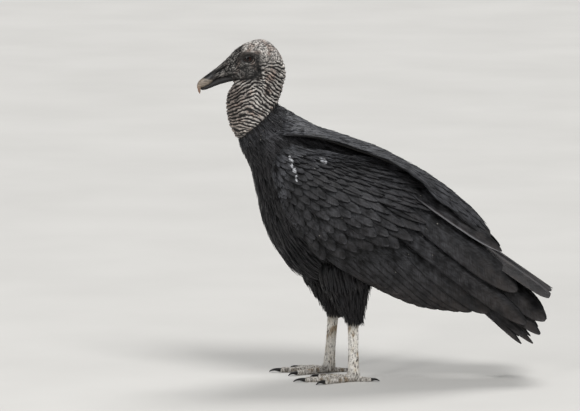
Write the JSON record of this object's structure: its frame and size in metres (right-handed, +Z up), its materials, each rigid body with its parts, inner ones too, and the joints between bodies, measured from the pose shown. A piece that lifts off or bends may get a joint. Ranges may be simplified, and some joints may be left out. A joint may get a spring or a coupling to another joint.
{
  "type": "black vulture",
  "caption": "Standing black vulture with folded, slightly drooped wings, bare wrinkled head and neck, hooked bill, short tail and pale bare legs.",
  "frame": {"origin": "on the floor under the middle of the bird's bounding box", "axes": "+Z up from the floor; the bird faces -Y, so +Y runs along its longest extent from bill to tail; +X is its left side"},
  "size_m": [0.1696, 0.4744, 0.452],
  "materials": {
    "bare_skin": "wrinkled bare skin, matt",
    "bill_horn": "worn pale horn, satin",
    "dark_horn": "dark horn, satin",
    "eye": "wet, glossy",
    "body_feather": "soft black contour feathers, slight sheen",
    "flight_feather": "firm black-brown vanes, slight sheen",
    "leg_scale": "scaled skin with a chalky white coat"
  },
  "bodies": {
    "root": {"head": "bare_skin", "neck": "bare_skin", "bill_upper": "bill_horn", "bill_lower": "dark_horn", "trunk": "body_feather", "mantle": "body_feather", "eye_left": "eye", "wing_coverts_left": "body_feather", "wing_tertials_left": "flight_feather", "wing_secondaries_left": "flight_feather", "wing_primaries_left": "flight_feather", "thigh_left": "body_feather", "shank_left": "leg_scale", "foot_left": "leg_scale", "claw_left_1": "dark_horn", "claw_left_2": "dark_horn", "claw_left_3": "dark_horn", "claw_left_4": "dark_horn", "eye_right": "eye", "wing_coverts_right": "body_feather", "wing_tertials_right": "flight_feather", "wing_secondaries_right": "flight_feather", "wing_primaries_right": "flight_feather", "thigh_right": "body_feather", "shank_right": "leg_scale", "foot_right": "leg_scale", "claw_right_1": "dark_horn", "claw_right_2": "dark_horn", "claw_right_3": "dark_horn", "claw_right_4": "dark_horn", "tail": "flight_feather"}
  },
  "joints": []
}
